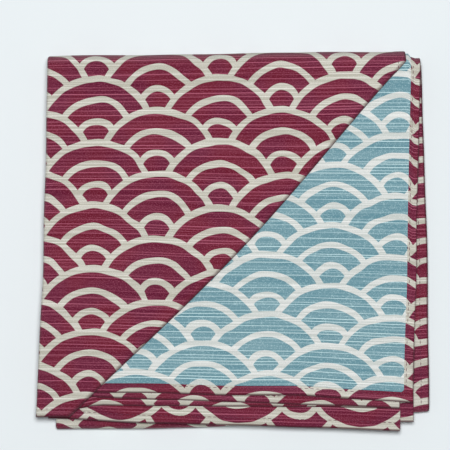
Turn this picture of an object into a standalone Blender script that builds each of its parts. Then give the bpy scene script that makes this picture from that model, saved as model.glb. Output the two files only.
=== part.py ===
"""A square reversible wrapping cloth, folded in four one way and in four the other.

The cloth is one sheet, hem included. It is laid out flat first: u runs to the left from the right
hem of the top layer, and v runs to the back from its front hem. Folds that run front to back make
it a strip of four layers, cross folds make that strip a packet of four, and one corner of the top
layer is turned under along a diagonal, so that the reverse shows. Metres, with +Z up, +X to the
right and +Y to the back, where the outermost cross fold lies.
"""

import math
from collections import namedtuple

import bmesh
import bpy
from mathutils import Matrix, Vector

SIDE = 0.700
PANEL = SIDE / 4
THICKNESS = 0.0010
GAP = 0.0001
PITCH = THICKNESS + GAP
SEGMENTS_PER_PANEL = 8

# A pressed fold sticks out by the first share of its half height, and takes up the second share
# of it in cloth on each side of its line.
PRESSED = 0.6
FOLD_TAKES = 1.3

# Mid heights of the four layers of a strip, and of the four strips of the packet.
LAYERS = {"first": 1.5 * PITCH, "second": 0.5 * PITCH, "third": -0.5 * PITCH, "fourth": -1.5 * PITCH}
STRIPS = {"first": 6 * PITCH, "second": 2 * PITCH, "third": -2 * PITCH, "fourth": -6 * PITCH}

# The folds in the order in which the cloth meets them: the distance at which each one lies, the
# levels that it leads from and to, the way it points, and its segments.
Fold = namedtuple("Fold", "at start end points segments")
SIDE_FOLDS = (
    Fold(at=1 * PANEL, start="first", end="fourth", points=-1, segments=6),
    Fold(at=2 * PANEL, start="fourth", end="third", points=1, segments=4),
    Fold(at=3 * PANEL, start="third", end="second", points=-1, segments=4),
)
CROSS_FOLDS = (
    Fold(at=1 * PANEL, start="first", end="fourth", points=1, segments=10),
    Fold(at=2 * PANEL, start="fourth", end="third", points=-1, segments=6),
    Fold(at=3 * PANEL, start="third", end="second", points=1, segments=6),
)

# The y of each cross fold at its left end, in its middle and at its right end.
FoldPlace = namedtuple("FoldPlace", "left_y middle_y right_y")
CROSS_FOLD_PLACES = (
    FoldPlace(left_y=0.0853, middle_y=0.0866, right_y=0.0879),
    FoldPlace(left_y=-0.0876, middle_y=-0.0860, right_y=-0.0795),
    FoldPlace(left_y=0.0815, middle_y=0.0826, right_y=0.0836),
)
PACKET_HALF_WIDTH = 0.088

# Where the lines of the cloth at some distances u lie in the packet: x at the front hem, at the
# three cross folds and at the back hem, and y at the two hems.
Line = namedtuple("Line", "u front_x fold1_x fold2_x fold3_x back_x front_y back_y")
LINES = (
    Line(0.000, 0.0800, 0.0810, 0.0926, 0.0889, 0.0830, -0.0826, -0.0820),
    Line(0.175, -0.0915, -0.0862, -0.0825, -0.0840, -0.0860, -0.0822, -0.0830),
    Line(0.205, -0.0640, -0.0578, -0.0540, -0.0559, -0.0578, -0.0766, -0.0843),
    Line(0.350, 0.0785, 0.0790, 0.0840, 0.0800, 0.0790, -0.0779, -0.0886),
    Line(0.500, -0.0642, -0.0607, -0.0570, -0.0589, -0.0603, -0.0728, -0.0808),
    Line(0.525, -0.0880, -0.0840, -0.0805, -0.0820, -0.0835, -0.0700, -0.0794),
    Line(0.645, 0.0308, 0.0343, 0.0350, 0.0318, 0.0325, -0.0722, -0.0829),
    Line(0.700, 0.0852, 0.0885, 0.0880, 0.0840, 0.0856, -0.0752, -0.0845),
)

# How far the left and right parts of each strip bow to the right between its ends.
Bow = namedtuple("Bow", "left right")
STRIP_BOWS = (
    Bow(left=0.0011, right=0.0),
    Bow(left=0.0, right=0.0),
    Bow(left=0.0, right=0.0008),
    Bow(left=0.0, right=0.0),
)

# The diagonal crease meets the front hem and the right hem this far from the corner turned under,
# and bows out towards that corner in the middle. The turned corner lies one level below.
CREASE_ON_FRONT_HEM = 0.1582
CREASE_ON_RIGHT_HEM = 0.1665
CREASE_RADIUS = PITCH / 2
CREASE_TAKES = FOLD_TAKES * CREASE_RADIUS
CREASE_SEGMENTS = 4
CREASE_BOW = 0.0024
CREASE_BOW_REACH = 0.040

CLOTH_COLOUR = (0.235, 0.022, 0.062, 1.0)
CLOTH_ROUGHNESS = 0.9


def clear_scene():
    for obj in list(bpy.data.objects):
        bpy.data.objects.remove(obj, do_unlink=True)


def mix(start, end, share):
    return start + (end - start) * share


def curve(start, middle, end, share):
    """A value on the smooth curve through three values, at the start, the middle and the end."""
    early = start * (1 - share) * (1 - 2 * share)
    late = end * share * (2 * share - 1)
    return early + 4 * middle * share * (1 - share) + late


def smooth(share):
    share = min(max(share, 0.0), 1.0)
    return share * share * (3 - 2 * share)


def fold_reach(fold, levels):
    """Cloth that a fold takes up on each side of its line."""
    return FOLD_TAKES * abs(levels[fold.start] - levels[fold.end]) / 2


def dividing_lines(folds, levels):
    """Distances at which the flat cloth is divided, for its folds and between them."""
    lines = []
    straight_from = 0.0
    for fold in folds:
        reach = fold_reach(fold, levels)
        for step in range(SEGMENTS_PER_PANEL):
            lines.append(mix(straight_from, fold.at - reach, step / SEGMENTS_PER_PANEL))
        for step in range(fold.segments):
            lines.append(mix(fold.at - reach, fold.at + reach, step / fold.segments))
        straight_from = fold.at + reach
    for step in range(SEGMENTS_PER_PANEL):
        lines.append(mix(straight_from, SIDE, step / SEGMENTS_PER_PANEL))
    return lines[1:]


def crease_frame():
    """A point on the diagonal crease, and the direction from the crease to the corner."""
    along = Vector((-CREASE_ON_FRONT_HEM, CREASE_ON_RIGHT_HEM)).normalized()
    return Vector((CREASE_ON_FRONT_HEM, 0.0)), Vector((-along.y, along.x))


def turn_corner_under(u, v, offset):
    """(u, v, offset) with the corner of the first layer of the first strip turned under."""
    if u > PANEL or v > PANEL:
        return u, v, offset
    point, outward = crease_frame()
    distance = (Vector((u, v)) - point).dot(outward)
    if distance <= -CREASE_TAKES:
        return u, v, offset
    if distance < CREASE_TAKES:
        turn = math.pi * (distance + CREASE_TAKES) / (2 * CREASE_TAKES)
        radius = CREASE_RADIUS + offset
        moved = -CREASE_TAKES + PRESSED * radius * math.sin(turn)
        height = -CREASE_RADIUS + radius * math.cos(turn)
    else:
        moved = -distance
        height = -2 * CREASE_RADIUS - offset
    shift = outward * (moved - distance)
    return u + shift.x, v + shift.y, height


def crease_bow(u, v):
    """How far the crease and the cloth beside it are drawn out towards the turned corner."""
    if u > CREASE_ON_FRONT_HEM or v > CREASE_ON_RIGHT_HEM:
        return 0.0
    point, outward = crease_frame()
    distance = (Vector((u, v)) - point).dot(outward)
    near = math.exp(-((distance / CREASE_BOW_REACH) ** 2))
    across = math.sin(math.pi * u / CREASE_ON_FRONT_HEM)
    back = math.sin(math.pi * v / CREASE_ON_RIGHT_HEM)
    return CREASE_BOW * near * across * back


def folded(distance, offset, folds, levels, raised=0.0):
    """Where a point of the cloth comes to in the section that some folds give it.

    distance is along the cloth, offset is over the cloth's middle, and raised lifts the first
    level. Gives the height, the amount by which the point lies past its line, the panel that it
    is in and the share of that panel's length before it.
    """
    heights = dict(levels, first=levels["first"] + raised)
    level = "first"
    side = 1
    straight_from = 0.0
    inset = 0.0
    for panel, fold in enumerate(folds):
        reach = fold_reach(fold, levels)
        drop = heights[fold.start] - heights[fold.end]
        radius = abs(drop) / 2
        if distance < fold.at - reach:
            share = (distance - straight_from) / (fold.at - reach - straight_from)
            past = mix(inset, -fold.points * PRESSED * radius, share)
            return heights[level] + side * offset, past, panel, share
        if distance <= fold.at + reach:
            downwards = math.copysign(1, drop)
            turn = math.pi * (distance - fold.at + reach) / (2 * reach)
            around = radius + downwards * side * offset
            height = heights[fold.start] + downwards * (around * math.cos(turn) - radius)
            past = fold.points * PRESSED * (around * math.sin(turn) - radius)
            return height, past, panel, 1.0
        straight_from = fold.at + reach
        inset = -fold.points * PRESSED * radius
        level = fold.end
        side = -side
    share = (distance - straight_from) / (SIDE - straight_from)
    return heights[level] + side * offset, mix(inset, 0.0, share), len(folds), share


def line_at(u):
    for before, after in zip(LINES, LINES[1:]):
        if u <= after.u:
            share = (u - before.u) / (after.u - before.u)
            return Line(*(mix(start, end, share) for start, end in zip(before, after)))
    return LINES[-1]


def cross_fold_y(place, x):
    return curve(*place, 0.5 + x / (2 * PACKET_HALF_WIDTH))


def strip_bow(x, strip, back):
    """How far a point of a strip is moved by the bow of the strip's side."""
    bow = STRIP_BOWS[strip]
    left = bow.left * smooth(-x / PACKET_HALF_WIDTH)
    right = bow.right * smooth(x / PACKET_HALF_WIDTH)
    return (left + right) * math.sin(math.pi * back)


def packet_point(u, v, offset):
    """Where a point of the flat cloth comes to in the folded packet."""
    u, v, offset = turn_corner_under(u, v, offset)
    outer_reach = fold_reach(CROSS_FOLDS[0], STRIPS)
    raised = PITCH * (1 - smooth((v - PANEL + outer_reach) / (2 * outer_reach)))
    height, past_x, layer, across = folded(u, offset, SIDE_FOLDS, LAYERS, raised)
    height, past_y, strip, back = folded(v, height, CROSS_FOLDS, STRIPS)
    line = line_at(PANEL * (layer + across))
    line_x = (line.front_x, line.fold1_x, line.fold2_x, line.fold3_x, line.back_x)
    x = mix(line_x[strip], line_x[strip + 1], back)
    x += strip_bow(x, strip, back)
    fold_y = [cross_fold_y(place, x) for place in CROSS_FOLD_PLACES]
    line_y = (line.front_y, *fold_y, line.back_y)
    y = mix(line_y[strip], line_y[strip + 1], back)
    bow = crease_bow(u, v)
    return Vector((x + past_x + bow, y + past_y - bow, height))


def cut(mesh, point, normal, within=SIDE):
    """Divides the faces of the flat cloth that lie within a square at its first corner."""
    middles = {face: face.calc_center_median() for face in mesh.faces}
    faces = [face for face, middle in middles.items() if max(middle.x, middle.y) < within]
    edges = {edge for face in faces for edge in face.edges}
    verts = {vert for face in faces for vert in face.verts}
    parts = [*verts, *edges, *faces]
    bmesh.ops.bisect_plane(mesh, geom=parts, plane_co=point, plane_no=normal, dist=1e-7)


def flat_cloth():
    """The flat cloth, divided along its folds and its crease, and given its thickness."""
    mesh = bmesh.new()
    bmesh.ops.create_grid(mesh, x_segments=1, y_segments=1, size=SIDE / 2)
    bmesh.ops.translate(mesh, verts=mesh.verts, vec=(SIDE / 2, SIDE / 2, THICKNESS / 2))
    for u in dividing_lines(SIDE_FOLDS, LAYERS):
        cut(mesh, Vector((u, 0, 0)), Vector((1, 0, 0)))
    for v in dividing_lines(CROSS_FOLDS, STRIPS):
        cut(mesh, Vector((0, v, 0)), Vector((0, 1, 0)))
    point, outward = crease_frame()
    for step in range(CREASE_SEGMENTS + 1):
        away = mix(-CREASE_TAKES, CREASE_TAKES, step / CREASE_SEGMENTS)
        cut(mesh, (point + outward * away).to_3d(), outward.to_3d(), within=PANEL)
    thickened = bmesh.ops.extrude_face_region(mesh, geom=mesh.faces[:])
    under = [item for item in thickened["geom"] if isinstance(item, bmesh.types.BMVert)]
    bmesh.ops.translate(mesh, verts=under, vec=(0, 0, -THICKNESS))
    bmesh.ops.recalc_face_normals(mesh, faces=mesh.faces)
    return mesh


def rest_on_origin(mesh):
    """Puts the packet on z = 0, with the middle of its outline over the origin."""
    low = Vector(min(vert.co[axis] for vert in mesh.verts) for axis in range(3))
    high = Vector(max(vert.co[axis] for vert in mesh.verts) for axis in range(3))
    middle = (low + high) / 2
    shift = Matrix.Translation((-middle.x, -middle.y, -low.z))
    bmesh.ops.transform(mesh, matrix=shift, verts=mesh.verts)


def printed_cotton():
    material = bpy.data.materials.new("printed_cotton")
    material.use_nodes = True
    shader = material.node_tree.nodes["Principled BSDF"]
    shader.inputs["Base Color"].default_value = CLOTH_COLOUR
    shader.inputs["Roughness"].default_value = CLOTH_ROUGHNESS
    shader.inputs["Metallic"].default_value = 0.0
    return material


def wrapping_cloth():
    mesh = flat_cloth()
    for vert in mesh.verts:
        vert.co = packet_point(*vert.co)
    # u runs to the left, so laying the cloth in the packet mirrors it.
    bmesh.ops.reverse_faces(mesh, faces=mesh.faces)
    rest_on_origin(mesh)
    data = bpy.data.meshes.new("wrapping_cloth")
    mesh.to_mesh(data)
    mesh.free()
    data.materials.append(printed_cotton())
    cloth = bpy.data.objects.new("wrapping_cloth", data)
    bpy.context.scene.collection.objects.link(cloth)
    return cloth


clear_scene()
wrapping_cloth()
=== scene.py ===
# %% [markdown]
# This lesson makes a furoshiki, the square cotton cloth that is knotted round a box or a bottle, as
# it lies when it isn't in use: folded flat. One corner of its top layer is turned under, so its
# wine-red face and its teal reverse both show. Folded cloth could be simulated, but then its folds
# fall where they like, and these folds lie in known places. So the cloth is made flat first, and
# every point of it then goes through the same few bends. Its hem, print and stitches are put on
# while it is flat, which is simpler, and they follow the folds by themselves.

import math
from collections import namedtuple

import bmesh
import bpy
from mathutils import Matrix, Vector, noise


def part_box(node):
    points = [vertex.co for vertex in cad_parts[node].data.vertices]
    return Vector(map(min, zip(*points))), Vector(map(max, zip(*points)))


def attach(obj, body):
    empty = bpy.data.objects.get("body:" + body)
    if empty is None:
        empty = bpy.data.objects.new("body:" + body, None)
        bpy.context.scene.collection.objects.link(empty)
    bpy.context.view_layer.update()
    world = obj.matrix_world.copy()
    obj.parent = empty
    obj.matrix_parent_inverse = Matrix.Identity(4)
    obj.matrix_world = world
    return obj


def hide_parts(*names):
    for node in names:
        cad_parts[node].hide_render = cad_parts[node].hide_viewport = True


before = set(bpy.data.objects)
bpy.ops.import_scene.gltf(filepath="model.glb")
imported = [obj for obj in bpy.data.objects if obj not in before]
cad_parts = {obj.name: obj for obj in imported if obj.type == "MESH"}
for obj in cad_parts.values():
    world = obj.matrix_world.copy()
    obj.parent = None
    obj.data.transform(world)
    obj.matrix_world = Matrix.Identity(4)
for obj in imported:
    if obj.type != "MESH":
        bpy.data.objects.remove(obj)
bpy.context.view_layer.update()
NODE = "wrapping_cloth"
low, high = (Vector(corner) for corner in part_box(NODE))
print("the solid of the cloth lies between", low, "and", high)

# %% [markdown]
# The real cloth is 70 cm square and folded in four each way, so it has four panels by four, and the
# packet has sixteen layers. Two distances place a point on the flat cloth: u runs to the left from
# the right hem of the top layer, and v runs to the back from its front hem. The layers could lie
# close on each other, as real ones do. Here they keep the pitch that they have in the solid, so
# that the folded cloth fills the same space. All sizes are in metres.

# %% The cloth's sizes
SIDE = 0.700
PANELS = 4
PANEL = SIDE / PANELS
PITCH = 0.0011
print("a panel is", PANEL, "m wide and the packet has", PANELS**2, "layers")

# %% [markdown]
# Cloth has no sudden changes, so most values here go gently from one to the next. Each could be
# worked out on the spot, but a few short helpers with plain names read better: a straight mix of
# two values, a curve through three, a smooth step, and how far a point is into a zone.

# %% Gentle changes
Zone = namedtuple("Zone", "start width")


def mix(start, end, share):
    """start where the share is 0, end where it is 1, and a straight mix between."""
    return start + (end - start) * share


def curve(start, middle, end, share):
    """A value on the smooth curve through three values, at the start, the middle and the end."""
    early = start * (1 - share) * (1 - 2 * share)
    late = end * share * (2 * share - 1)
    return early + 4 * middle * share * (1 - share) + late


def smooth(share):
    """0 up to a share of 0, 1 from a share of 1, and an easy rise between."""
    share = min(max(share, 0.0), 1.0)
    return share * share * (3 - 2 * share)


def into(zone, distance):
    """0 before the zone, 1 past it, and an easy rise across it."""
    return smooth((distance - zone.start) / zone.width)


print("a quarter of the way through a smooth step is", smooth(0.25))

# %% [markdown]
# Nothing that is cut and folded by hand is quite even. Random numbers could shift the vertices, but
# neighbours would then move apart. Blender's noise changes slowly from place to place, so points
# that are close together move together, and it is the same every time that the script runs. Its
# seed is only a height in the noise, so two kinds of unevenness with other seeds share nothing.

# %% Unevenness
Unevenness = namedtuple("Unevenness", "size reach seed")


def drift(uneven, along, across=0.0):
    """How far a point is moved, at most by about the size. The reach is how slowly it changes."""
    place = Vector((along / uneven.reach, across / uneven.reach, uneven.seed))
    return uneven.size * noise.noise(place)


print("a sample of unevenness is", round(drift(Unevenness(size=1, reach=0.05, seed=3.0), 0.01), 3))

# %% [markdown]
# Folding in four makes three folds, and each leads the cloth from one level to another. They could
# be pressed in one after the other, each over the last. Here they are only listed, in the order in
# which the cloth meets them, because a list is easy to read and to change. Each row says how far
# along the cloth a fold lies, its two levels, the way it points and how many segments round it. One
# list has the folds that run front to back. The other has those that run across and make strips.

# %% The folds
Fold = namedtuple("Fold", "at start end points segments")

# The height of each level over the middle: a layer of a strip, and a strip of four layers.
LAYERS = {"first": 1.5 * PITCH, "second": 0.5 * PITCH, "third": -0.5 * PITCH, "fourth": -1.5 * PITCH}
STRIPS = {"first": 6 * PITCH, "second": 2 * PITCH, "third": -2 * PITCH, "fourth": -6 * PITCH}
SIDE_FOLDS = (
    Fold(at=1 * PANEL, start="first", end="fourth", points=-1, segments=14),
    Fold(at=2 * PANEL, start="fourth", end="third", points=1, segments=10),
    Fold(at=3 * PANEL, start="third", end="second", points=-1, segments=10),
)
CROSS_FOLDS = (
    Fold(at=1 * PANEL, start="first", end="fourth", points=1, segments=24),
    Fold(at=2 * PANEL, start="fourth", end="third", points=-1, segments=14),
    Fold(at=3 * PANEL, start="third", end="second", points=1, segments=14),
)
print(len(SIDE_FOLDS), "folds run front to back and", len(CROSS_FOLDS), "run across")

# %% [markdown]
# A cloth that is folded by hand never lies square, so hems and folds peep out at the right and at
# the front. Each layer could be turned on its own, but then the folds between them would tear. A
# small table does it instead. Each row is a line of the flat cloth that runs front to back at the
# distance u, and says where that line lies in the packet: left to right (x) at the front hem, at
# the three cross folds and at the back hem, and front to back (y) at the two hems. Between two rows
# the places are mixed, so the cloth stays whole.

# %% Where the cloth's lines lie
Line = namedtuple("Line", "u front_x fold1_x fold2_x fold3_x back_x front_y back_y")
LINES = (
    Line(0.000, 0.0800, 0.0810, 0.0926, 0.0889, 0.0830, -0.0826, -0.0820),
    Line(0.175, -0.0915, -0.0862, -0.0825, -0.0840, -0.0860, -0.0822, -0.0830),
    Line(0.205, -0.0640, -0.0578, -0.0540, -0.0559, -0.0578, -0.0766, -0.0843),
    Line(0.350, 0.0785, 0.0790, 0.0840, 0.0800, 0.0790, -0.0779, -0.0886),
    Line(0.500, -0.0642, -0.0607, -0.0570, -0.0589, -0.0603, -0.0728, -0.0808),
    Line(0.525, -0.0880, -0.0840, -0.0805, -0.0820, -0.0835, -0.0700, -0.0794),
    Line(0.645, 0.0308, 0.0343, 0.0350, 0.0318, 0.0325, -0.0722, -0.0829),
    Line(0.700, 0.0852, 0.0885, 0.0880, 0.0840, 0.0856, -0.0752, -0.0845),
)


def line_at(u):
    """The line of the cloth at the distance u, mixed from the two rows beside it."""
    for before, after in zip(LINES, LINES[1:]):
        if u <= after.u:
            share = (u - before.u) / (after.u - before.u)
            return Line(*(mix(start, end, share) for start, end in zip(before, after)))
    return LINES[-1]


print("the front of the top layer's left fold lies at x =", round(1000 * line_at(PANEL).front_x, 1), "mm")

# %% [markdown]
# The real cross folds curve a little and slant, and some strips have sides that bow. More columns
# in the table above could hold that too, but they would be hard to read. So each cross fold has a
# row of its own, and each strip has one too, with how far its left and its right part bow to the
# right between its ends. The right hem of the second layer also lags a little at the first cross
# fold: it lies further to the front than the rest of that fold.

# %% Curved folds and bowed strips
PACKET_HALF_WIDTH = 0.088

FoldPlace = namedtuple("FoldPlace", "left_y middle_y right_y")
CROSS_FOLD_PLACES = (
    FoldPlace(left_y=0.0853, middle_y=0.0866, right_y=0.0879),
    FoldPlace(left_y=-0.0876, middle_y=-0.0860, right_y=-0.0795),
    FoldPlace(left_y=0.0815, middle_y=0.0826, right_y=0.0836),
)

Bow = namedtuple("Bow", "left right")
STRIP_BOWS = (
    Bow(left=0.0011, right=0.0),
    Bow(left=0.0, right=0.0),
    Bow(left=0.0, right=0.0008),
    Bow(left=0.0, right=0.0),
)

HEM_LAG = 0.0024
LAGGING_HEM = Zone(start=0.0832, width=0.0015)


def cross_fold_places(x):
    """How far back each cross fold lies at this distance to the right."""
    along = 0.5 + x / (2 * PACKET_HALF_WIDTH)
    places = [curve(*place, along) for place in CROSS_FOLD_PLACES]
    places[0] -= HEM_LAG * into(LAGGING_HEM, x)
    return places


def strip_bow(x, strip, back):
    """How far a point of a strip is moved by the bow of the strip's side."""
    bow = STRIP_BOWS[strip]
    left = bow.left * smooth(-x / PACKET_HALF_WIDTH)
    right = bow.right * smooth(x / PACKET_HALF_WIDTH)
    return (left + right) * math.sin(math.pi * back)


print("in the middle the cross folds lie at y =", [round(1000 * y, 1) for y in cross_fold_places(0)], "mm")

# %% [markdown]
# The front right corner of the real top layer is turned under along a diagonal crease, which bares
# the teal of the layer below. The corner could be cut off and laid there as a piece of its own, but
# it is the same cloth. So each point beyond the crease is reflected in it, one pitch lower, and the
# points beside the crease go round half a circle. A fold takes up a little more cloth on each side
# than its own radius. This bend comes first, while the rest is flat, so it stays this simple.

# %% The turned corner
FOLD_TAKES = 1.3
CREASE_ON_FRONT_HEM = 0.1582
CREASE_ON_RIGHT_HEM = 0.1665
CREASE_RADIUS = PITCH / 2
CREASE_TAKES = FOLD_TAKES * CREASE_RADIUS


def crease_frame():
    """A point on the diagonal crease, and the direction from the crease to the corner."""
    along = Vector((-CREASE_ON_FRONT_HEM, CREASE_ON_RIGHT_HEM)).normalized()
    return Vector((CREASE_ON_FRONT_HEM, 0.0)), Vector((-along.y, along.x))


def past_crease(u, v):
    """How far a point lies beyond the crease, towards the corner."""
    point, outward = crease_frame()
    return (Vector((u, v)) - point).dot(outward)


def turn_corner_under(u, v, offset):
    """(u, v, offset) with the corner of the first layer of the first strip turned under."""
    distance = past_crease(u, v)
    if u > PANEL or v > PANEL or distance <= -CREASE_TAKES:
        return u, v, offset
    if distance < CREASE_TAKES:
        turn = math.pi * (distance + CREASE_TAKES) / (2 * CREASE_TAKES)
        radius = CREASE_RADIUS + offset
        moved = -CREASE_TAKES + radius * math.sin(turn)
        height = -CREASE_RADIUS + radius * math.cos(turn)
    else:
        moved = -distance
        height = -2 * CREASE_RADIUS - offset
    shift = crease_frame()[1] * (moved - distance)
    return u + shift.x, v + shift.y, height


print("the corner comes to", [round(1000 * c, 1) for c in turn_corner_under(0, 0, 0)], "mm")

# %% [markdown]
# The real crease isn't dead straight: its middle is drawn out a little, towards the corner. The
# crease itself could be a curve, but a reflection needs a straight line. So the cloth is creased
# straight and pulled later, most in the middle of the crease and less and less away from it.

# %% The bow of the crease
CREASE_BOW = 0.0024
CREASE_BOW_REACH = 0.040


def crease_bow(u, v):
    """How far the crease and the cloth beside it are drawn out towards the turned corner."""
    if u > CREASE_ON_FRONT_HEM or v > CREASE_ON_RIGHT_HEM:
        return 0.0
    near = math.exp(-((past_crease(u, v) / CREASE_BOW_REACH) ** 2))
    across = math.sin(math.pi * u / CREASE_ON_FRONT_HEM)
    back = math.sin(math.pi * v / CREASE_ON_RIGHT_HEM)
    return CREASE_BOW * near * across * back


middle_bow = crease_bow(CREASE_ON_FRONT_HEM / 2, CREASE_ON_RIGHT_HEM / 2)
print("the middle of the crease is drawn out by", round(1000 * middle_bow, 2), "mm each way")

# %% [markdown]
# Seen from the side, a set of folds is a line that runs straight, turns half a circle at each fold
# and runs back. It could be drawn as a profile and extruded, but this cloth has two such sets, one
# across the other. So one function gives the section and is used twice: first for the folds that
# run front to back, and again for the cross folds, with the height from the first as its offset.
# Pressed folds are flatter than half a circle, so they stick out less.

# %% The section of the folds
PRESSED = 0.6


def fold_reach(fold, levels):
    """Cloth that a fold takes up on each side of its line."""
    return FOLD_TAKES * abs(levels[fold.start] - levels[fold.end]) / 2


def folded(distance, offset, folds, levels, raised=0.0):
    """Where a point of the cloth comes to in the section that some folds give it.

    distance is along the cloth, offset is over the cloth's middle, and raised lifts the first
    level. Gives the height, the amount by which the point lies past its line, the panel that it
    is in and the share of that panel's length before it.
    """
    heights = dict(levels, first=levels["first"] + raised)
    level = "first"
    side = 1
    straight_from = 0.0
    inset = 0.0
    for panel, fold in enumerate(folds):
        reach = fold_reach(fold, levels)
        drop = heights[fold.start] - heights[fold.end]
        radius = abs(drop) / 2
        if distance < fold.at - reach:
            share = (distance - straight_from) / (fold.at - reach - straight_from)
            past = mix(inset, -fold.points * PRESSED * radius, share)
            return heights[level] + side * offset, past, panel, share
        if distance <= fold.at + reach:
            downwards = math.copysign(1, drop)
            turn = math.pi * (distance - fold.at + reach) / (2 * reach)
            around = radius + downwards * side * offset
            height = heights[fold.start] + downwards * (around * math.cos(turn) - radius)
            past = fold.points * PRESSED * (around * math.sin(turn) - radius)
            return height, past, panel, 1.0
        straight_from = fold.at + reach
        inset = -fold.points * PRESSED * radius
        level = fold.end
        side = -side
    share = (distance - straight_from) / (SIDE - straight_from)
    return heights[level] + side * offset, mix(inset, 0.0, share), len(folds), share


print("halfway round the first cross fold:", folded(PANEL, 0, CROSS_FOLDS, STRIPS)[:2])

# %% [markdown]
# Now the bends are put together. A point of the flat cloth has its corner turned under, goes
# through both sets of folds, and comes to the place that the table gives. A lattice or an armature
# could move a stack of layers too, but each point would need its weights. This way a point's place
# depends only on where it lies on the flat cloth, so whatever lies on the cloth goes with it. The
# turned corner lies below the first layer, so that layer is one pitch higher in the first strip.

# %% From the flat cloth to the packet
FIRST_FOLD_REACH = fold_reach(CROSS_FOLDS[0], STRIPS)
FIRST_FOLD = Zone(start=PANEL - FIRST_FOLD_REACH, width=2 * FIRST_FOLD_REACH)


def packet_point(u, v, offset):
    """Where a point of the flat cloth comes to in the folded packet."""
    u, v, offset = turn_corner_under(u, v, offset)
    raised = PITCH * (1 - into(FIRST_FOLD, v))
    height, past_x, layer, across = folded(u, offset, SIDE_FOLDS, LAYERS, raised)
    height, past_y, strip, back = folded(v, height, CROSS_FOLDS, STRIPS)
    line = line_at(PANEL * (layer + across))
    line_x = (line.front_x, line.fold1_x, line.fold2_x, line.fold3_x, line.back_x)
    x = mix(line_x[strip], line_x[strip + 1], back)
    x += strip_bow(x, strip, back)
    line_y = (line.front_y, *cross_fold_places(x), line.back_y)
    y = mix(line_y[strip], line_y[strip + 1], back)
    bow = crease_bow(u, v)
    return Vector((x + past_x + bow, y + past_y - bow, height))


print("the middle of the flat cloth comes to", packet_point(SIDE / 2, SIDE / 2, 0))

# %% [markdown]
# Real cloth isn't a stack of boards. The free hems at the right and the front lie closer together
# than the folds, the loose front left corner sags, slow waves run through the layers, and no edge
# is quite straight. A cloth simulation could settle the packet, but sixteen layers are slow and
# hard to steer. Here each effect is one smooth change of a point's place, nearly the same for all
# the layers there, so the layers keep their order and none cuts another.

# %% Settling
HEMS_SETTLE = 0.10
CORNER_SAGS = 0.14
RIGHT_HEMS = Zone(start=0.050, width=0.045)
FRONT_HEMS = Zone(start=0.045, width=0.045)
LOOSE_TO_LEFT = Zone(start=0.066, width=0.026)
LOOSE_TO_FRONT = Zone(start=0.050, width=0.036)
OUTLINE = Zone(start=0.060, width=0.030)
WAVES = Unevenness(size=0.00035, reach=0.045, seed=7.0)
UNEVEN_SIDES = Unevenness(size=0.0005, reach=0.030, seed=21.0)
UNEVEN_ENDS = Unevenness(size=0.0005, reach=0.030, seed=33.0)

# A step up through the layers changes their edges as much as two such steps along an edge.
HEIGHT_COUNTS = 2


def settle(point):
    """The packet's point after its layers have settled. Layers stay in order."""
    x, y, z = point
    hems = max(into(RIGHT_HEMS, x), into(FRONT_HEMS, -y))
    corner = into(LOOSE_TO_LEFT, -x) * into(LOOSE_TO_FRONT, -y)
    lower = HEMS_SETTLE * hems + CORNER_SAGS * corner
    height_share = z / (high.z - low.z)
    wave = drift(WAVES, x, y) * height_share
    outward = into(OUTLINE, max(abs(x), abs(y)))
    moved_x = x + outward * drift(UNEVEN_SIDES, y, z * HEIGHT_COUNTS)
    moved_y = y + outward * drift(UNEVEN_ENDS, x, z * HEIGHT_COUNTS)
    return Vector((moved_x, moved_y, z * (1 - lower) + wave))


loose_corner = Vector((-0.09, -0.08, high.z))
settled_by = loose_corner.z - settle(loose_corner).z
print("the front left corner settles by", round(1000 * settled_by, 2), "mm")

# %% [markdown]
# The flat cloth needs vertices where it will bend. An even grid that is fine enough for the folds
# would have millions of faces. So the grid's lines lie close together across each fold and along
# the hem, and far apart on the plain panels between. The hem is turned twice, so it is three layers
# thick, with a steep step down to the reverse and a softer one down to the face.

# %% Lines of the flat cloth
HEM_WIDTH = 0.0044
HEM_STEP = 0.00015
HEM_RIDGE = 0.0012
HEM_LINES = (0.0, HEM_WIDTH / 2, HEM_WIDTH, HEM_WIDTH + HEM_STEP, HEM_WIDTH + HEM_RIDGE)
PANEL_STEP = 0.0055


def even_lines(start, end, count):
    """Evenly spaced lines across a fold or a plain stretch, without the one at its end."""
    return [mix(start, end, step / count) for step in range(count)]


def plain_lines(start, end):
    """Lines of a plain stretch, about a panel step apart."""
    return even_lines(start, end, math.ceil((end - start) / PANEL_STEP))


def grid_lines(folds, levels):
    """Distances of the grid's lines, from hem to hem."""
    lines = list(HEM_LINES[:-1])
    straight_from = HEM_LINES[-1]
    for fold in folds:
        reach = fold_reach(fold, levels)
        lines += plain_lines(straight_from, fold.at - reach)
        lines += even_lines(fold.at - reach, fold.at + reach, fold.segments)
        straight_from = fold.at + reach
    lines += plain_lines(straight_from, SIDE - HEM_LINES[-1])
    return lines + [SIDE - inset for inset in reversed(HEM_LINES)]


U_LINES = grid_lines(SIDE_FOLDS, LAYERS)
V_LINES = grid_lines(CROSS_FOLDS, STRIPS)
print("the grid has", len(U_LINES), "by", len(V_LINES), "lines")

# %% [markdown]
# The grid's own lines run along the cloth and across it, and the turned corner's crease is a
# diagonal. Bent along it, square faces would give a jagged edge. A much finer corner could hide
# that. It is neater to cut the corner panel along the crease, with one line for each step of the
# bend, which the bisect operator does without moving a vertex.

# %% Cutting the crease into the grid
CREASE_SEGMENTS = 8
CUT_PRECISION = 1e-7


def corner_panel(mesh):
    """The vertices, edges and faces of the panel whose corner is turned under."""
    middles = {face: face.calc_center_median() for face in mesh.faces}
    faces = [face for face, middle in middles.items() if max(middle.x, middle.y) < PANEL]
    edges = {edge for face in faces for edge in face.edges}
    verts = {vert for face in faces for vert in face.verts}
    return [*verts, *edges, *faces]


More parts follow.
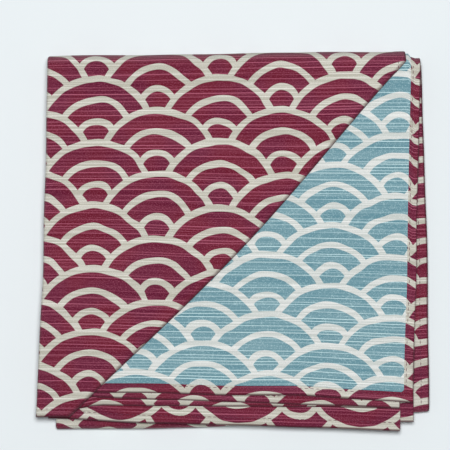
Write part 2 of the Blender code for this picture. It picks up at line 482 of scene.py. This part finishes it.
def cut_crease(mesh):
    """Divides the corner panel along the lines of its diagonal crease."""
    point, outward = crease_frame()
    for step in range(CREASE_SEGMENTS + 1):
        away = mix(-CREASE_TAKES, CREASE_TAKES, step / CREASE_SEGMENTS)
        bmesh.ops.bisect_plane(
            mesh,
            geom=corner_panel(mesh),
            plane_co=(point + outward * away).to_3d(),
            plane_no=outward.to_3d(),
            dist=CUT_PRECISION,
        )


print("the crease is cut in", CREASE_SEGMENTS, "segments")

# %% [markdown]
# The cloth is one closed sheet: a red face, a teal reverse and a thin rim between them. A Solidify
# modifier could thicken a plain grid, but here the face and the reverse get shapes and finishes of
# their own, so both are real vertices. A grid is laid on the lines, cut along the crease and
# extruded downwards. The rim is divided into four strips, which can be rounded.

# %% The flat sheet
HALF_HEM = 0.00045
RIM_STRIPS = 4
GRID_HALF = 0.5


def flat_sheet():
    """The flat cloth, as thick all over as its hem, with its red face up."""
    mesh = bmesh.new()
    across, back = len(U_LINES) - 1, len(V_LINES) - 1
    bmesh.ops.create_grid(mesh, x_segments=across, y_segments=back, size=GRID_HALF)
    for vert in mesh.verts:
        column = round((vert.co.x + GRID_HALF) * across)
        row = round((vert.co.y + GRID_HALF) * back)
        vert.co = (U_LINES[column], V_LINES[row], HALF_HEM)
    cut_crease(mesh)
    thickened = bmesh.ops.extrude_face_region(mesh, geom=mesh.faces[:])
    under = [item for item in thickened["geom"] if isinstance(item, bmesh.types.BMVert)]
    bmesh.ops.translate(mesh, verts=under, vec=(0, 0, -2 * HALF_HEM))
    upright = [edge for edge in mesh.edges if abs(edge.verts[0].co.z - edge.verts[1].co.z) > HALF_HEM]
    bmesh.ops.subdivide_edges(mesh, edges=upright, cuts=RIM_STRIPS - 1)
    bmesh.ops.recalc_face_normals(mesh, faces=mesh.faces)
    return mesh


sheet = flat_sheet()
print("the flat sheet has", len(sheet.faces), "faces")

# %% [markdown]
# The real cloth is wine red on its face and teal on its reverse, and its hem is turned onto the
# reverse, so a red border frames the teal. A shader could tell the sides apart by their direction,
# but folded cloth faces every way. So each face gets its finish now, while up and down are plain.
# Each corner of a face also keeps its flat place as a map, and the print will follow that.

# %% Finishes and the cloth's own map
RED_SLOT, TEAL_SLOT = 0, 1
CLOTH_MAP = "cloth"


def hem_distance(u, v):
    """Distance from a point of the flat cloth to the nearest edge."""
    return min(u, v, SIDE - u, SIDE - v)


def mark_faces(mesh):
    """Gives every face its finish, and its corners their place on the flat cloth."""
    cloth_map = mesh.loops.layers.uv.new(CLOTH_MAP)
    for face in mesh.faces:
        middle = face.calc_center_median()
        faces_down = face.normal.z < -0.5
        is_hem = hem_distance(middle.x, middle.y) < HEM_WIDTH
        face.material_index = TEAL_SLOT if faces_down and not is_hem else RED_SLOT
        face.smooth = True
        for loop in face.loops:
            loop[cloth_map].uv = (loop.vert.co.x / SIDE, loop.vert.co.y / SIDE)


mark_faces(sheet)
print(sum(face.material_index == TEAL_SLOT for face in sheet.faces), "faces are teal")

# %% [markdown]
# A real hem is thicker than the panel inside it, its edge is rounded, its inner corners are soft
# and its line wanders a little. It could be a strip of its own that is sewn on, but a hem is part of
# its cloth. So the sheet's own points are moved while it is flat: inside the hem they come closer
# to the middle of the cloth, and the points of the rim are pushed outwards on half a circle.

# %% The shape of the hem
HALF_SHEET = 0.00026
HEM_CORNER = 0.0005
NEAR_HEM = Zone(start=0.0, width=0.03)
UNEVEN_CUT_SIDES = Unevenness(size=0.0005, reach=0.035, seed=11.0)
UNEVEN_CUT_ENDS = Unevenness(size=0.0005, reach=0.035, seed=17.0)
TINY = 1e-6


def half_thickness(u, v, upper):
    """Half the thickness of the cloth, on its red or its teal side."""
    past_hem = Zone(start=HEM_WIDTH, width=HEM_RIDGE if upper else HEM_STEP)
    return mix(HALF_HEM, HALF_SHEET, into(past_hem, hem_distance(u, v)))


def corner_rounding(u, v):
    """How far the inner corner of the hem, which is rounded, is moved to the cloth's middle."""
    moves = []
    for place in (u, v):
        inset = min(place, SIDE - place)
        on_inner_line = HEM_WIDTH - TINY < inset < HEM_WIDTH + HEM_STEP + TINY
        moves.append(math.copysign(HEM_CORNER, SIDE / 2 - place) if on_inner_line else 0.0)
    return moves if all(moves) else (0.0, 0.0)


def hand_cut(u, v):
    """A point of the flat cloth where its hem isn't quite straight."""
    near_hem = 1 - into(NEAR_HEM, hem_distance(u, v))
    return u + near_hem * drift(UNEVEN_CUT_SIDES, v), v + near_hem * drift(UNEVEN_CUT_ENDS, u)


def outwards(place):
    """-1 or 1 for a point of the rim, at the start or the end of the cloth, and 0 inside."""
    return (place > SIDE - TINY) - (place < TINY)


def shaped(u, v, offset):
    """A point of the flat sheet, at its true thickness, with a rounded and slightly uneven edge."""
    true_offset = offset * half_thickness(u, v, offset > 0) / HALF_HEM
    round_out = math.sqrt(max(HALF_HEM**2 - offset**2, 0.0))
    cut_u, cut_v = hand_cut(u, v)
    in_u, in_v = corner_rounding(u, v)
    return cut_u + in_u + outwards(u) * round_out, cut_v + in_v + outwards(v) * round_out, true_offset


for vert in sheet.verts:
    vert.co = shaped(*vert.co)
print("the sheet is", round(2000 * HALF_SHEET, 2), "mm thick and its hem", round(2000 * HALF_HEM, 2), "mm")

# %% [markdown]
# Now the whole sheet is folded. Simple Deform modifiers could bend it step by step, but each would
# need its own limits and order, and seven bends are hard to keep apart. Here each vertex is simply
# sent through the bends. The packet is then moved so that it fills the same box as the solid and
# rests on the ground. The distance u runs to the left, so the folded sheet is a mirror image of the
# flat one and its faces point inwards, until they are reversed.

# %% Folding the sheet
folded_points = [packet_point(*vert.co) for vert in sheet.verts]
least = Vector(min(point[axis] for point in folded_points) for axis in range(3))
most = Vector(max(point[axis] for point in folded_points) for axis in range(3))
SHIFT = (low + high) / 2 - (least + most) / 2
SHIFT.z = low.z - least.z


def fold_mesh(mesh):
    """Sends the vertices of a flat mesh through the bends, with its faces pointing outwards."""
    for vert in mesh.verts:
        vert.co = settle(packet_point(*vert.co) + SHIFT)
    bmesh.ops.reverse_faces(mesh, faces=mesh.faces)


fold_mesh(sheet)
print("the packet was shifted by", [round(1000 * c, 2) for c in SHIFT], "mm")

# %% [markdown]
# The print and the weave are arithmetic on a point's place on the cloth. Blender does that with
# Math nodes, which could be added and linked one by one, in hundreds of lines. One small class
# wraps a node's output instead and gives it Python's own operators, so that a formula reads as it
# would on paper and adds its nodes by itself. Every node is made by the same method.

# %% Values in a material
def feed(tree, socket, value):
    """Links a socket to a value of the material, or sets it to a plain number or colour."""
    if isinstance(value, Value):
        tree.links.new(value.socket, socket)
    else:
        socket.default_value = value


class Value:
    """A number, colour or vector in a material."""

    def __init__(self, tree, socket=None):
        self.tree = tree
        self.socket = socket

    def node(self, kind, output, settings, inputs):
        """An output of a new node of this kind, which gets its settings before its inputs."""
        made = self.tree.nodes.new(kind)
        for name, setting in settings.items():
            setattr(made, name, setting)
        for place, value in inputs.items():
            feed(self.tree, made.inputs[place], value)
        return Value(self.tree, made.outputs[output])

    def maths(self, operation, *values):
        """A Math node with these values, in this order."""
        return self.node("ShaderNodeMath", "Value", {"operation": operation}, dict(enumerate(values)))

    def __add__(self, other):
        return self.maths("ADD", self, other)

    def __radd__(self, other):
        return self.maths("ADD", other, self)

    def __sub__(self, other):
        return self.maths("SUBTRACT", self, other)

    def __rsub__(self, other):
        return self.maths("SUBTRACT", other, self)

    def __mul__(self, other):
        return self.maths("MULTIPLY", self, other)

    def __rmul__(self, other):
        return self.maths("MULTIPLY", other, self)

    def __truediv__(self, other):
        return self.maths("DIVIDE", self, other)

    def __rtruediv__(self, other):
        return self.maths("DIVIDE", other, self)

    def __abs__(self):
        return self.maths("ABSOLUTE", self)

    def root(self):
        """The square root."""
        return self.maths("SQRT", self)

    def floor(self):
        """The whole number at or below the value."""
        return self.maths("FLOOR", self)

    def wrap(self, least, most):
        """The value, brought between two limits by whole turns."""
        return self.maths("WRAP", self, most, least)

    def least(self, other):
        """The smaller of two values."""
        return self.maths("MINIMUM", self, other)

    def most(self, other):
        """The larger of two values."""
        return self.maths("MAXIMUM", self, other)

    def below(self, limit):
        """1 where the value is under the limit, else 0."""
        return self.maths("LESS_THAN", self, limit)

    def choose(self, first, second):
        """first where this is 0 and second where it is 1."""
        return first + (second - first) * self

    def ramp(self, start, end):
        """0 up to start, 1 from end, and smooth between."""
        settings = {"interpolation_type": "SMOOTHSTEP"}
        inputs = {"Value": self, "From Min": start, "From Max": end}
        return self.node("ShaderNodeMapRange", "Result", settings, inputs)

    def colour(self, first, second):
        """A colour that goes from first to second as this goes from 0 to 1."""
        inputs = {"Factor": self, "A": first, "B": second}
        return self.node("ShaderNodeMix", "Result", {"data_type": "RGBA"}, inputs)


print("values of a material can be added, multiplied, wrapped and mixed")

# %% [markdown]
# Noise gives the cloth what no formula repeats: threads that change along their length, dye that is
# taken up unevenly, lines cut by hand. A picture of cloth could be laid on it, but it would tile or
# blur. Blender's noise is sharp at any distance. The first helper gives soft blotches. The second
# gives long streaks, by reading the noise at a far-off place for each row of the weave.

# %% Noise on the cloth
BLOTCH_DETAIL = 1.0
ROW_DETAIL = 2.0
ROW_JUMP = 7.31


def blotches(u, v, size, seed):
    """Soft noise between 0 and 1 with blotches of this size."""
    place = u.node("ShaderNodeCombineXYZ", "Vector", {}, {"X": u / size, "Y": v / size, "Z": seed})
    inputs = {"Vector": place, "Scale": 1.0, "Detail": BLOTCH_DETAIL}
    return u.node("ShaderNodeTexNoise", "Fac", {}, inputs)


def row_noise(u, v, length, row_width, seed):
    """Noise that changes over this length in a row of weft, and is new in each row."""
    row = (v / row_width).floor() * ROW_JUMP
    place = u.node("ShaderNodeCombineXYZ", "Vector", {}, {"X": u / length, "Y": row, "Z": seed})
    inputs = {"Vector": place, "Scale": 1.0, "Detail": ROW_DETAIL}
    return u.node("ShaderNodeTexNoise", "Fac", {}, inputs)


print("the noise of neighbouring rows is", ROW_JUMP, "units apart")

# %% [markdown]
# The cloth is printed with bands of dye and lines of bare cotton between them, in a common pattern
# of overlapping scales. Rows of discs with rings inside them lie one in front of the other, each
# half a radius to the front of the last and half a disc to the side. The pattern could be drawn as
# an image, but a formula is sharp at every distance. Three rows can cover a point, and the one
# furthest to the front counts. Slow noise bends the lines and changes their width, as if they were
# cut by hand.

# %% The print
DISC_RADIUS = 0.0300
ROWS_TO_A_RADIUS = 2
RINGS = 3
LINE_SHARE = 0.30
LINE_SOFTNESS = 0.015
PRINT_STARTS = 0.0030
BEND_SHIFTS = 0.0030
BEND_SIZE = 0.014
SPREAD_SHIFTS = 0.10
SPREAD_SIZE = 0.009
BEND_SEED, SPREAD_SEED = 2.3, 4.7


def disc_distance(column, row, disc_row):
    """Distance from a point to the nearest disc's middle in a row of discs, in radii."""
    beside = (column - disc_row.wrap(0, 2)).wrap(-1, 1)
    above = row - disc_row / ROWS_TO_A_RADIUS
    return (beside * beside + above * above).root()


def scale_lines(u, v, seed):
    """1 on the pattern's lines and 0 in its bands."""
    bend = blotches(u, v, BEND_SIZE, seed + BEND_SEED) - 0.5
    spread = blotches(u, v, SPREAD_SIZE, seed + SPREAD_SEED) - 0.5
    column = (u + bend * BEND_SHIFTS) / DISC_RADIUS
    row = (v + PRINT_STARTS - bend * BEND_SHIFTS) / DISC_RADIUS
    base = (row * ROWS_TO_A_RADIUS).floor()
    front, middle, back = (disc_distance(column, row, base + step) for step in (-1, 0, 1))
    behind_front = middle.below(1.0).choose(back, middle)
    distance = front.below(1.0).choose(behind_front, front)
    line_from = 1 - LINE_SHARE + spread * SPREAD_SHIFTS
    return (distance * RINGS).wrap(0, 1).ramp(line_from - LINE_SOFTNESS, line_from + LINE_SOFTNESS)


print("a disc of the print is", 2000 * DISC_RADIUS, "mm across, with", RINGS, "rings")

# %% [markdown]
# The weave is plain cotton with slubs: stretches of thick weft that run across the cloth at uneven
# distances and take the dye less, so they show as long light streaks, one thread wide. Stripes of
# noise alone would be too even. So the cloth is divided into bands, each with one slub at a place
# of its own in the band, and noise that changes slowly along the slub fades it in and out.

# %% Slubs
SLUB_SPACING = 0.0016
SLUB_STRAYS = 0.6
SLUB_WIDTH = 0.00044
SLUB_LENGTH = 0.150
SLUB_SHOWS_FROM, SLUB_SHOWS_FULLY = 0.38, 0.66


def slub_streaks(u, v, seed):
    """1 where a thread is thick."""
    band = v / SLUB_SPACING
    chance = {"noise_dimensions": "1D"}
    place = v.node("ShaderNodeTexWhiteNoise", "Value", chance, {"W": band.floor() + seed})
    from_slub = abs(band.wrap(0, 1) - 0.5 + (place - 0.5) * SLUB_STRAYS) * SLUB_SPACING
    thick = row_noise(u, v, SLUB_LENGTH, SLUB_SPACING, seed)
    across = from_slub.ramp(SLUB_WIDTH / 2, SLUB_WIDTH / 4)
    return thick.ramp(SLUB_SHOWS_FROM, SLUB_SHOWS_FULLY) * across


print("one slub lies in every", 1000 * SLUB_SPACING, "mm, and is", 1000 * SLUB_WIDTH, "mm thick")

# %% [markdown]
# Between the slubs, plain threads cross at about two to the millimetre. They are too fine to be
# modelled one by one, and a bump in the shader is enough: rows of weft, and lower rows of warp
# across them. Some rows have taken up less dye for a stretch, and here and there a single crossing
# has, so streaks and specks of two kinds of noise lighten the colour there.

# %% Rows and specks
WEFT_ROW = 0.00050
WARP_ROW = 0.00040
ROW_FLAT = 0.2
ROW_LENGTH = 0.100
PALE_ROW_FROM, PALE_ROW_FULLY = 0.40, 0.64
SPECK = 0.00050
SPECK_FROM, SPECK_FULLY = 0.54, 0.62
ROW_SEED, SPECK_SEED = 6.1, 8.9


def row_profile(distance, row_width):
    """1 along the middle of each row and 0 between two rows."""
    return abs((distance / row_width).wrap(0, 1) - 0.5).ramp(0.5, ROW_FLAT)


def pale_rows(u, v, seed):
    """1 where a row of weft has taken less dye."""
    return row_noise(u, v, ROW_LENGTH, WEFT_ROW, seed + ROW_SEED).ramp(PALE_ROW_FROM, PALE_ROW_FULLY)


def specks(u, v, seed):
    """1 where a single crossing of threads has taken less dye."""
    return blotches(u, v, SPECK, seed + SPECK_SEED).ramp(SPECK_FROM, SPECK_FULLY)


print("rows of weft are", 1000 * WEFT_ROW, "mm apart and rows of warp", 1000 * WARP_ROW, "mm")

# %% [markdown]
# Along the diagonal crease and at the cloth's outer edge, the real surface turns away from the light
# and the fold shades the gap under it, so a fine dark line of shade runs there. Light alone doesn't
# draw it at this size. So that shade is painted: the shader measures the distance to the crease and
# to the edge on the flat cloth, with the same crease that the folding uses, and darkens a narrow strip.

# %% Painted shade at the crease and the edges
# Painted shade: how far it reaches from the crease and from the edge, its colour and its strength.
CREASE_SHADE_WIDTH = 0.0019
EDGE_SHADE_WIDTH = 0.0006
EDGE_SHADE = (0.070, 0.007, 0.018, 1.0)
EDGE_SHADE_SHOWS = 0.80


def painted_crease_and_edge_shade(u, v):
    """Where shade is painted: 1 on the diagonal crease and on the cloth's own edge, and 0 a little way
    from them.
    """
    point, outward = crease_frame()
    from_crease = abs((u - point.x) * outward.x + v * outward.y)
    from_side = SIDE / 2 - abs(u - SIDE / 2)
    from_end = SIDE / 2 - abs(v - SIDE / 2)
    on_edge = from_side.least(from_end).ramp(EDGE_SHADE_WIDTH, 0)
    return from_crease.ramp(CREASE_SHADE_WIDTH, 0).most(on_edge)


print("the dark line fades out", 1000 * CREASE_SHADE_WIDTH, "mm from the crease")

# %% [markdown]
# Both faces of the cloth have the same cotton and the same kind of print. They could be two
# materials made by hand, but they differ only in their colours and in how strongly the weave shows,
# so a small table of looks feeds one function. The dye has two shades, which slow noise mixes.

# %% The looks of the two faces
Look = namedtuple("Look", "dye other_dye pale_dye lines pale_lines slub_shows rows_show_on_lines seed")
WINE_RED = Look(
    dye=(0.116, 0.003, 0.028, 1.0),
    other_dye=(0.142, 0.003, 0.020, 1.0),
    pale_dye=(0.620, 0.165, 0.260, 1.0),
    lines=(0.500, 0.480, 0.402, 1.0),
    pale_lines=(0.930, 0.910, 0.840, 1.0),
    slub_shows=0.70,
    rows_show_on_lines=0.38,
    seed=1.0,
)
TEAL = Look(
    dye=(0.122, 0.274, 0.335, 1.0),
    other_dye=(0.144, 0.294, 0.351, 1.0),
    pale_dye=(0.720, 0.970, 1.000, 1.0),
    lines=(0.590, 0.631, 0.603, 1.0),
    pale_lines=(1.000, 1.000, 0.980, 1.0),
    slub_shows=1.10,
    rows_show_on_lines=0.50,
    seed=41.5,
)
print("the red face's slubs show by", WINE_RED.slub_shows, "and the teal face's by", TEAL.slub_shows)

# %% [markdown]
# The colour of a face is built up in the order in which the real one was made: yarn that is uneven,
# a print of dye and bare lines over it, and last the painted shade along the crease and the edges.
# Each step mixes two colours by a value between 0 and 1. The weave's height comes from the same
# slubs and specks as the colour, so that a light streak also stands out from the cloth.

# %% Colour and height of a face
DYE_PATCH = 0.022
DYE_SEED = 12.4
DYE_CHANGES_FROM, DYE_CHANGED = 0.35, 0.65
SPECKS_SHOW = 0.24
ROWS_SHOW_ON_DYE = 0.10
WARP_HEIGHT = 0.6
SLUB_HEIGHT = 2
BUMP_DEPTH = 0.00007


def face_colour(u, v, look, slubs, crossings):
    """The colour of a printed face."""
    patches = blotches(u, v, DYE_PATCH, look.seed + DYE_SEED).ramp(DYE_CHANGES_FROM, DYE_CHANGED)
    dye = patches.colour(look.dye, look.other_dye)
    undyed = slubs + crossings * SPECKS_SHOW
    rows = pale_rows(u, v, look.seed)
    dyed = (undyed + rows * ROWS_SHOW_ON_DYE).colour(dye, look.pale_dye)
    lined = (undyed + rows * look.rows_show_on_lines).colour(look.lines, look.pale_lines)
    printed = scale_lines(u, v, look.seed).colour(dyed, lined)
    # The crease and the edges get painted shade: a dark colour mixed over the print.
    return (painted_crease_and_edge_shade(u, v) * EDGE_SHADE_SHOWS).colour(printed, EDGE_SHADE)


def face_bump(u, v, slubs, crossings):
    """The direction of a printed face's surface, with its threads standing out."""
    threads = row_profile(v, WEFT_ROW) + row_profile(u, WARP_ROW) * WARP_HEIGHT
    height = threads + slubs * SLUB_HEIGHT + crossings
    return u.node("ShaderNodeBump", "Normal", {}, {"Height": height, "Distance": BUMP_DEPTH})


print("the threads' bump is", round(1000 * BUMP_DEPTH, 3), "mm deep")

# %% [markdown]
# Cotton is matt, with a faint sheen of fine fibres seen at a low angle. A cloth shader of its own
# could be mixed in, but the standard shader has a sheen. What is the same all over the cloth is set
# once on the shader, and only the colour and the bump come from nodes.

# %% The printed faces
COTTON = {"Roughness": 0.88, "Specular IOR Level": 0.25, "Sheen Weight": 0.10}


def plain_material(name, settings):
    """A material and its shader, which has these settings all over."""
    material = bpy.data.materials.new(name)
    material.use_nodes = True
    shader = material.node_tree.nodes["Principled BSDF"]
    for setting, value in settings.items():
        shader.inputs[setting].default_value = value
    return material, shader


def printed_face(name, look):
    """The material of one printed face of the cloth."""
    material, shader = plain_material(name, COTTON)
    tree = material.node_tree
    place = Value(tree).node("ShaderNodeUVMap", "UV", {"uv_map": CLOTH_MAP}, {})
    u, v = (place.node("ShaderNodeSeparateXYZ", axis, {}, {"Vector": place}) * SIDE for axis in "XY")
    slubs = slub_streaks(u, v, look.seed) * look.slub_shows
    crossings = specks(u, v, look.seed)
    feed(tree, shader.inputs["Base Color"], face_colour(u, v, look, slubs, crossings))
    feed(tree, shader.inputs["Normal"], face_bump(u, v, slubs, crossings))
    return material


red_face = printed_face("wine_red_print", WINE_RED)
teal_face = printed_face("teal_print", TEAL)
print("made", red_face.name, "and", teal_face.name)

# %% [markdown]
# The folded sheet becomes the object that is seen. It could be shown beside the solid, but the two
# are the same cloth. So it rides where the solid rides and takes its place. Its faces are shaded
# smoothly, apart from the steep step of the hem, which stays sharp.

# %% The cloth
SHARP_ANGLE = math.radians(50)


def new_object(name, data):
    """An object with this data, in the scene."""
    made = bpy.data.objects.new(name, data)
    bpy.context.scene.collection.objects.link(made)
    return made


def mesh_object(name, mesh, *materials):
    """An object at the origin with this mesh and these materials."""
    data = bpy.data.meshes.new(name)
    mesh.to_mesh(data)
    mesh.free()
    for material in materials:
        data.materials.append(material)
    return new_object(name, data)


def cloth_piece(name, mesh, *materials):
    """An object that rides with the cloth's body and takes the place of its solid."""
    piece = mesh_object(name, mesh, *materials)
    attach(piece, "root")
    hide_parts(NODE)
    return piece


cloth = cloth_piece("folded_cloth", sheet, red_face, teal_face)
cloth.data.set_sharp_from_angle(angle=SHARP_ANGLE)
print(cloth.name, "has", len(cloth.data.polygons), "faces")

# %% [markdown]
# A row of stitches in wine-red thread holds the real hem, and shows on both faces of the cloth. One
# could draw them in the shader, but a stitch stands out from the cloth and catches the light. A
# stitch is a small bead that is sunk a little into the hem. There are about a thousand on each
# face, so a bead has few faces. One is made, spin copies it along one hem and then round the four
# sides, and a copy of all of them lies on the reverse. They are folded just as the cloth was.

# %% Stitches
STITCH_FROM_EDGE = 0.0034
STITCH_PITCH = 0.0027
STITCH_SIZE = (0.0022, 0.00034, 0.00024)
STITCH_SUNK = 0.00002
STITCH_LEVEL = HALF_HEM - STITCH_SUNK
BEAD_SEGMENTS = 6
BEAD_RINGS = 4


def everything(mesh):
    """All the vertices, edges and faces of a mesh, as operators take them."""
    return mesh.verts[:] + mesh.edges[:] + mesh.faces[:]


def stitch_row(mesh):
    """Stitches of the upper face along one side of the flat cloth."""
    row_length = SIDE - 2 * STITCH_FROM_EDGE
    count = round(row_length / STITCH_PITCH)
    pitch = row_length / count
    bmesh.ops.create_uvsphere(mesh, u_segments=BEAD_SEGMENTS, v_segments=BEAD_RINGS, radius=0.5)
    bmesh.ops.scale(mesh, verts=mesh.verts, vec=STITCH_SIZE)
    first = (STITCH_FROM_EDGE + pitch / 2, STITCH_FROM_EDGE, STITCH_LEVEL)
    bmesh.ops.translate(mesh, verts=mesh.verts, vec=first)
    bmesh.ops.spin(mesh, geom=everything(mesh), dvec=(pitch, 0, 0), steps=count - 1, use_duplicate=True)


def hem_stitches():
    """All the stitches of the hem, folded with the cloth."""
    mesh = bmesh.new()
    stitch_row(mesh)

    # Three quarter turns round the middle of the cloth copy the row to the other sides.
    bmesh.ops.spin(
        mesh,
        geom=everything(mesh),
        cent=(SIDE / 2, SIDE / 2, 0),
        axis=(0, 0, 1),
        angle=math.radians(270),
        steps=3,
        use_duplicate=True,
    )
    lower = bmesh.ops.duplicate(mesh, geom=everything(mesh))["geom"]
    lower_verts = [item for item in lower if isinstance(item, bmesh.types.BMVert)]
    bmesh.ops.translate(mesh, verts=lower_verts, vec=(0, 0, -2 * STITCH_LEVEL))
    for vert in mesh.verts:
        u, v, offset = vert.co
        vert.co = (*hand_cut(u, v), offset)
    fold_mesh(mesh)
    for face in mesh.faces:
        face.smooth = True
    return mesh


THREAD = {"Base Color": (0.120, 0.014, 0.045, 1.0), "Roughness": 0.7}
hem_thread, _ = plain_material("hem_thread", THREAD)
stitches = cloth_piece("hem_stitches", hem_stitches(), hem_thread)
print(stitches.name, "has", len(stitches.data.polygons), "faces")

# %% [markdown]
# The cloth is soft, and whoever uses the model later may want to unfold it. Its shape alone doesn't
# say how large it is when it lies flat, so the size that the cloth was cut to is printed here.

# %% What the cloth is
print("the flat cloth is", SIDE, "by", SIDE, "m")

# %% [markdown]
# The packet lies on a plain pale floor, which is white with a little blue. A backdrop that curves
# up could stand behind it, but from above only the floor is seen, so a single large face will do.

# %% The floor
FLOOR_HALF = 3.0
FLOOR = {"Base Color": (0.765, 0.815, 0.835, 1.0), "Roughness": 0.9}


def floor():
    """A plain floor at the height on which the packet rests."""
    mesh = bmesh.new()
    bmesh.ops.create_grid(mesh, x_segments=1, y_segments=1, size=FLOOR_HALF)
    pale_floor, _ = plain_material("pale_floor", FLOOR)
    return mesh_object("floor", mesh, pale_floor)


floor()
print("the floor is", 2 * FLOOR_HALF, "m wide")

# %% [markdown]
# The light is soft daylight: an even pale sky, and one round lamp nearly overhead that stands a
# little to the back. Several lamps could light the packet evenly, but then it would look flat. The
# lamp draws a narrow shadow in front of the packet and a thin one under each layer, and its width
# sets how soft they are.

# %% The light
LAMP_PLACE = Vector((0.01, 0.17, 1.45))
LAMP_WIDTH = 0.35
LAMP_POWER = 19.5
SKY_COLOUR = (0.960, 0.985, 1.0, 1.0)
SKY_STRENGTH = 0.18


def soft_lamp():
    """One round lamp that shines on the packet."""
    lamp = bpy.data.lights.new("key", "AREA")
    lamp.shape = "DISK"
    lamp.size = LAMP_WIDTH
    lamp.energy = LAMP_POWER
    made = new_object("key", lamp)
    made.location = LAMP_PLACE
    made.rotation_mode = "QUATERNION"
    made.rotation_quaternion = (-LAMP_PLACE).to_track_quat("-Z", "Y")


def pale_sky():
    """The same pale light from all sides."""
    world = bpy.data.worlds.new("pale_sky")
    world.use_nodes = True
    background = world.node_tree.nodes["Background"]
    background.inputs["Color"].default_value = SKY_COLOUR
    background.inputs["Strength"].default_value = SKY_STRENGTH
    bpy.context.scene.world = world


soft_lamp()
pale_sky()
print("the lamp stands", round(LAMP_PLACE.length, 2), "m away")

# %% [markdown]
# The packet is seen from straight above. A near camera with a wide lens would show the sides of the
# layers, so this one is far off and has a long lens. The lens is worked out from the width that is
# in view at the height of the packet's top, and the sensor's own width. Colours are shown as they
# are, without a film look, so that the dyes keep their strength.

# %% The camera
CAMERA_HEIGHT = 1.5
VIEW_WIDTH = 0.2102
VIEW_CENTRE = (-0.0030, 0.0075)
SENSOR_WIDTH = 36
camera_data = bpy.data.cameras.new("camera")
camera_data.sensor_width = SENSOR_WIDTH
camera_data.lens = SENSOR_WIDTH * (CAMERA_HEIGHT - high.z) / VIEW_WIDTH
camera = new_object("camera", camera_data)
camera.location = (VIEW_CENTRE[0] + SHIFT.x, VIEW_CENTRE[1] + SHIFT.y, CAMERA_HEIGHT)
bpy.context.scene.camera = camera
bpy.context.scene.view_settings.view_transform = "Standard"
print("the lens is", round(camera_data.lens), "mm")
